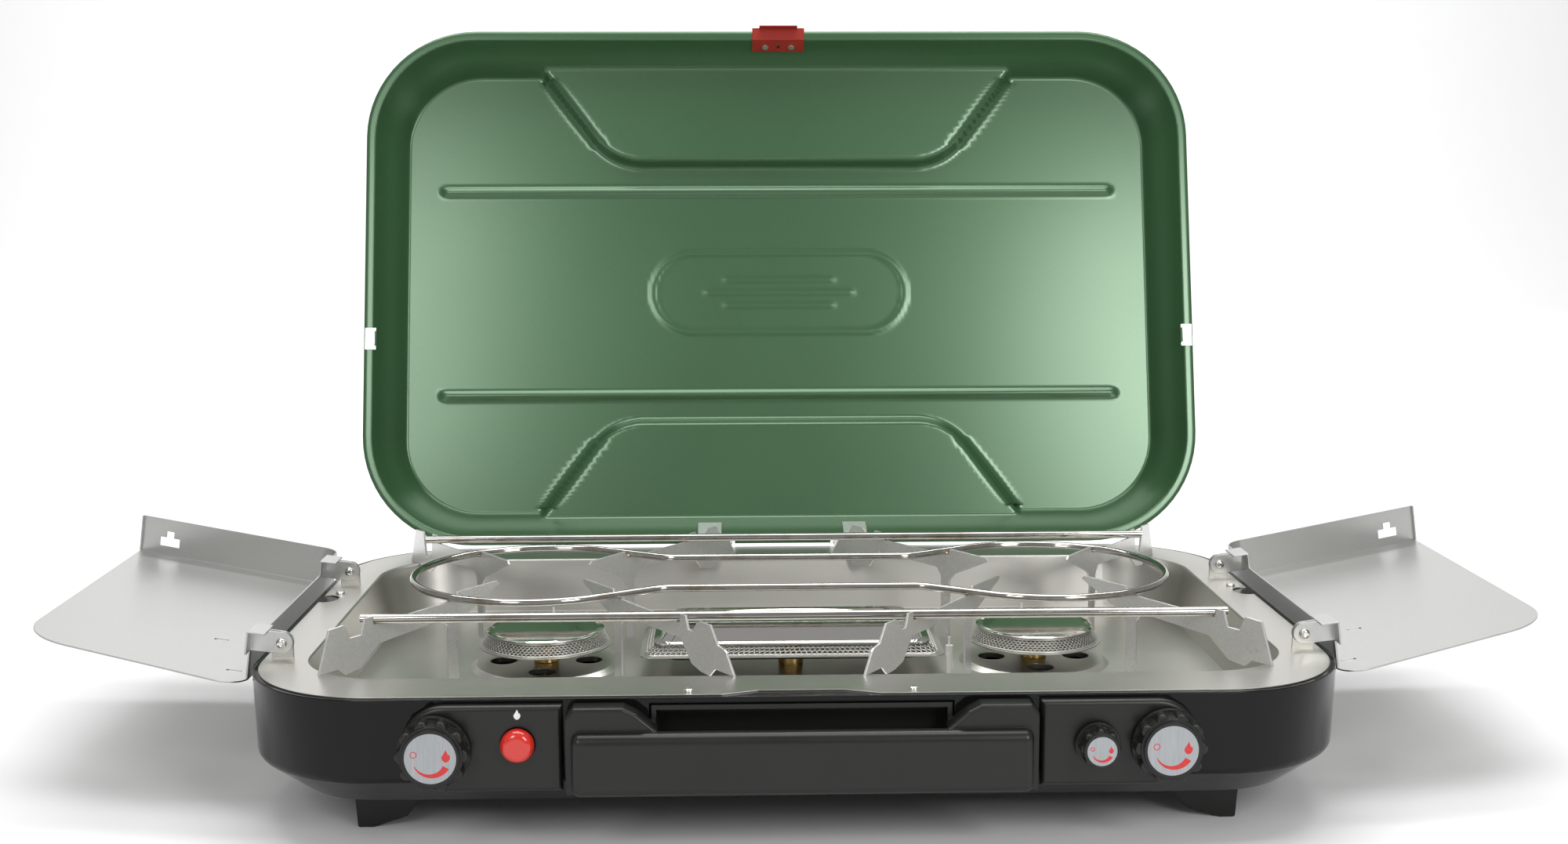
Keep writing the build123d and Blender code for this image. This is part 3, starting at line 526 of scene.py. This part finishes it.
def perforated(name, node, ring_low, ring_high, rows, columns, hole):
    """A band between two closed edges, pierced by rows of staggered round holes.

    ring_low and ring_high give the point at a fraction round the band's lower and upper edge, and
    hole is a hole's radius as a share of its cell."""
    points, faces = [], []
    around, margin = 8, PORT_MARGIN

    def spot(u, v):
        return Vector(ring_low(u % 1.0)).lerp(Vector(ring_high(u % 1.0)), v)

    index = {}

    def vertex(u, v):
        key = (round(u * 1e6) % 1000000, round(v * 1e6))
        if key not in index:
            index[key] = len(points)
            points.append(spot(u, v))
        return index[key]

    for row in range(rows):
        v0 = margin + (1 - 2 * margin) * row / rows
        v1 = margin + (1 - 2 * margin) * (row + 1) / rows
        for column in range(columns):
            shift = 0.5 * (row % 2)
            u0, u1 = (column + shift) / columns, (column + 1 + shift) / columns
            middle_u, middle_v = (u0 + u1) / 2, (v0 + v1) / 2
            edge, rim = [], []
            for k in range(around):
                a = 2 * pi * (k + 0.5) / around
                ca, sa = cos(a), sin(a)
                reach = max(abs(ca), abs(sa))
                wide, high = u1 - u0, v1 - v0
                edge.append(vertex(middle_u + ca / reach * wide / 2, middle_v + sa / reach * high / 2))
                rim.append(vertex(middle_u + ca * wide * hole, middle_v + sa * high * hole))
            for k in range(around):
                n = (k + 1) % around
                faces.append((edge[k], edge[n], rim[n], rim[k]))
    for v0, v1 in ((0, margin), (1 - margin, 1)):
        for column in range(columns * 2):
            u0, u1 = column / columns / 2, (column + 1) / columns / 2
            faces.append((vertex(u0, v0), vertex(u1, v0), vertex(u1, v1), vertex(u0, v1)))
    shown = piece(name, points, faces, MATERIALS["stainless_steel"], "stove_body")
    outward_normals(shown)
    thicken(shown, PORT_SHEET, -1.0, lining=SCORCHED)
    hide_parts(node)


def make_round_burner(side):
    node = f"burner_{side}_port_ring"
    low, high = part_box(node)
    centre = (low + high) / 2
    cap_overhang = 0.0012
    bottom_r = (high.x - low.x) / 2
    top_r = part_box(f"burner_{side}_cap")[1].x - centre.x - cap_overhang

    def ring(radius, z):
        return lambda u: (centre.x + radius * cos(2 * pi * u), centre.y + radius * sin(2 * pi * u), z)

    perforated(
        f"burner_{side}_pierced_ring", node, ring(bottom_r, low.z), ring(top_r, high.z),
        ROUND_ROWS, ROUND_COLUMNS, ROUND_HOLE,
    )


def make_griddle_band():
    node = "griddle_burner_port_band"
    low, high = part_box(node)
    centre = (low + high) / 2

    def ring(half_x, half_y, radius, z):
        """A function from the fraction round a rounded rectangle to its point."""
        edge = rounded_edge(half_x, half_y, radius, 40, 14, 4)
        lengths = [0.0]
        for k in range(len(edge)):
            a, b = edge[k], edge[(k + 1) % len(edge)]
            lengths.append(lengths[-1] + hypot(b[0] - a[0], b[1] - a[1]))

        def point(u):
            want = u * lengths[-1]
            k = max(i for i, total in enumerate(lengths[:-1]) if total <= want + 1e-12)
            t = (want - lengths[k]) / (lengths[k + 1] - lengths[k])
            a, b = edge[k], edge[(k + 1) % len(edge)]
            return (centre.x + a[0] + (b[0] - a[0]) * t, centre.y + a[1] + (b[1] - a[1]) * t, z)

        return point

    half_x, half_y = (high.x - low.x) / 2, (high.y - low.y) / 2
    perforated(
        "griddle_pierced_band", node, ring(half_x, half_y, BAND_LOW_CORNER, low.z),
        ring(half_x - BAND_SLOPE, half_y - BAND_SLOPE, BAND_HIGH_CORNER, high.z),
        BAND_ROWS, BAND_COLUMNS, BAND_HOLE,
    )


make_round_burner("left")
make_round_burner("right")
make_griddle_band()


# ---- weld beads on the grate --------------------------------------------------------------------
def bead(spots):
    """Small flattened beads of weld joined into one mesh."""
    points, faces = [], []
    for spot, radius in spots:
        ball = bmesh.new()
        bmesh.ops.create_icosphere(ball, subdivisions=2, radius=radius)
        start = len(points)
        points.extend(spot + Vector((v.co.x, v.co.y, v.co.z * 0.75)) for v in ball.verts)
        faces.extend(tuple(start + v.index for v in face.verts) for face in ball.faces)
        ball.free()
    return points, faces


def make_welds():
    """A bead where each blade meets its rail, and one where it meets the ring wire."""
    ring_low, ring_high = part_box("grate_ring_loop")
    wire = 0.0025
    rail_bead, ring_bead = 0.0021, 0.0019
    middle = (ring_low + ring_high) / 2
    ring_r = (ring_high.y - ring_low.y) / 2 - wire
    spots = []
    for y_name in ("front", "rear"):
        rail_low, rail_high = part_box(f"grate_rail_{y_name}")
        rail_y, rail_z = (rail_low.y + rail_high.y) / 2, rail_low.z
        for x_name, side in (("left", -1), ("right", 1)):
            ring_x = middle.x + side * ((ring_high.x - ring_low.x) / 2 - wire - ring_r)
            for kind in ("outer", "inner"):
                low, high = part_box(f"grate_blade_{kind}_{y_name}_{x_name}")
                outward = side if kind == "outer" else -side
                near = Vector((low.x if outward > 0 else high.x, low.y if y_name == "rear" else high.y))
                far = Vector((high.x if outward > 0 else low.x, high.y if y_name == "rear" else low.y))
                way = (far - near).normalized()
                rail = near + way * ((rail_y - near.y) / way.y)
                spots.append((Vector((rail.x, rail.y, rail_z + 0.0012)), rail_bead))
                away = near - Vector((ring_x, middle.y))
                half = away.dot(way)
                reach = -half + sqrt(half * half - away.length_squared + ring_r * ring_r)
                joint = near + way * reach
                spots.append((Vector((joint.x, joint.y, ring_low.z + 0.001)), ring_bead))
    points, faces = bead(spots)
    piece("grate_welds", points, faces, HEAT_TINT, "grate")


make_welds()


# ---- printed marks -----------------------------------------------------------------------------
INK_THICK, INK_GAP = 0.00003, 0.01


def flat_mark(name, outlines, plane_y, material, body):
    """Thin printed shapes facing the user, from lists of (x, z) points on the plan."""
    points, faces = [], []
    for outline in outlines:
        start = len(points)
        points.extend(at(x, plane_y, z) for x, z in outline)
        faces.append(tuple(range(start, len(points))))
    shown = piece(name, points, faces, material, body, smooth=False)
    if shown.data.polygons[0].normal.y > 0:
        shown.data.flip_normals()
    thicken(shown, INK_THICK, 1.0)
    return shown


def flame(cx, cz, size):
    """A plain flame: a drop with one hollow in its side."""
    outline = [(0, 1.0), (0.22, 0.55), (0.30, 0.25), (0.42, 0.42), (0.56, 0.0), (0.48, -0.35), (0.25, -0.62),
               (0, -0.7), (-0.25, -0.62), (-0.48, -0.35), (-0.56, 0.0), (-0.36, 0.35), (-0.18, 0.62)]
    return [(cx + size * x, cz + size * z) for x, z in outline]


def growing_arc(cx, cz, radius, start, end, thin, thick, steps=18):
    """An arc that widens along its length, as a run of four-sided outlines."""
    outer, inner = [], []
    for k in range(steps + 1):
        t = k / steps
        a = radians(start + (end - start) * t)
        half = (thin + (thick - thin) * t) / 2
        outer.append((cx + (radius + half) * cos(a), cz + (radius + half) * sin(a)))
        inner.append((cx + (radius - half) * cos(a), cz + (radius - half) * sin(a)))
    return [[outer[k], outer[k + 1], inner[k + 1], inner[k]] for k in range(steps)]


def make_dials():
    """On each dial a widening arc, a small ring for shut and a flame for full."""
    for name in ("left", "right", "centre"):
        low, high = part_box(f"knob_{name}_dial")
        centre, radius = plan((low + high) / 2), (high.x - low.x) / 2 / MM
        ring_x, ring_z = centre.x - radius * 0.64, centre.z + radius * 0.16
        marks = growing_arc(centre.x, centre.z, radius * 0.69, 205, 330, 0.4, radius * 0.27)
        marks += growing_arc(ring_x, ring_z, radius * 0.12, 0, 360, 0.5, 0.5, 16)
        marks.append(flame(centre.x + radius * 0.60, centre.z + radius * 0.06, radius * 0.30))
        ink = flat_mark(f"knob_{name}_marks", marks, plan(low).y - INK_GAP, RED_INK, f"knob_{name}")


def make_igniter_mark():
    low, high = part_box("igniter_button")
    button = plan((low + high) / 2)
    over_button, size = 17.5, 3.6
    face_y = plan(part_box("control_panel_left")[0]).y - 2 * INK_GAP
    outline = flame(button.x, button.z + over_button, size)
    flat_mark("igniter_flame_mark", [outline], face_y, WHITE_INK, "stove_body")


make_dials()
make_igniter_mark()


# ---- camera, lights and floor ------------------------------------------------------------------
EYE = (-38.4, -1244.1, 307.6)
EYE_TURN, EYE_TILT, EYE_ROLL = -0.0272, 0.1478, -0.0024
LENS, SHIFT, CLIP_END = 41.5, 0.00955, 50
WORLD_STRENGTH = 0.36
LIGHTS = [  # name, place, the point it faces, its two sides (all metres), watts
    ("overhead", (0, -0.1, 1.9), (0, 0.1, 0.1), (1.8, 0.8), 19),
    ("front_left", (-0.74, -1.5, 1.02), (-0.2, 0.2, 0.3), (0.4, 0.7), 6.5),
    ("front_right", (0.80, -1.5, 0.92), (0.2, 0.2, 0.3), (0.45, 0.7), 11),
    ("backdrop", (0, 1.9, 3.2), (0, 3.7, 0.0), (4.5, 0.8), 150),
]


def make_camera():
    data = bpy.data.cameras.new("camera")
    camera = bpy.data.objects.new("camera", data)
    bpy.context.scene.collection.objects.link(camera)
    camera.location = at(*EYE)
    look = Matrix.Rotation(EYE_TURN, 3, "Z") @ Matrix.Rotation(pi / 2 - EYE_TILT, 3, "X")
    camera.rotation_euler = (look @ Matrix.Rotation(EYE_ROLL, 3, "Z")).to_euler()
    data.lens, data.shift_y, data.clip_end = LENS, SHIFT, CLIP_END
    bpy.context.scene.camera = camera


def make_light(name, place, target, size, power):
    data = bpy.data.lights.new(name, "AREA")
    data.shape, data.size, data.size_y = "RECTANGLE", size[0], size[1]
    data.energy = power
    light = bpy.data.objects.new(name, data)
    bpy.context.scene.collection.objects.link(light)
    light.location = place
    light.rotation_euler = (Vector(target) - Vector(place)).to_track_quat("-Z", "Y").to_euler()


def make_stage():
    """A wide pale floor that curves up into a wall far behind the stove, and an even white world."""
    half_wide, front, wall, curve, top = 9.0, -8.0, 4.6, 1.0, 4.5
    profile = [(front, 0.0), (wall - curve, 0.0)]
    for degrees in range(6, 91, 6):
        a = radians(degrees)
        profile.append((wall - curve + curve * sin(a), curve - curve * cos(a)))
    profile.append((wall, top))
    points = [(x, y, z) for y, z in profile for x in (-half_wide, half_wide)]
    faces = [(2 * k, 2 * k + 1, 2 * k + 3, 2 * k + 2) for k in range(len(profile) - 1)]
    mesh = bpy.data.meshes.new("floor")
    mesh.from_pydata(points, [], faces)
    mesh.polygons.foreach_set("use_smooth", [True] * len(mesh.polygons))
    floor = bpy.data.objects.new("floor", mesh)
    bpy.context.scene.collection.objects.link(floor)
    s = Shader("pale_floor", (0.86, 0.86, 0.86), 0.0, 0.7)
    s.drive("Roughness", s.span(s.noise((3, 3, 3), 2), 0.65, 0.75))
    mesh.materials.append(s.material)
    world = bpy.data.worlds.new("studio")
    world.use_nodes = True
    background = world.node_tree.nodes["Background"]
    background.inputs["Color"].default_value = (1, 1, 1, 1)
    background.inputs["Strength"].default_value = WORLD_STRENGTH
    bpy.context.scene.world = world


make_camera()
make_stage()
for light_facts in LIGHTS:
    make_light(*light_facts)
bpy.context.scene.view_settings.view_transform = "Standard"
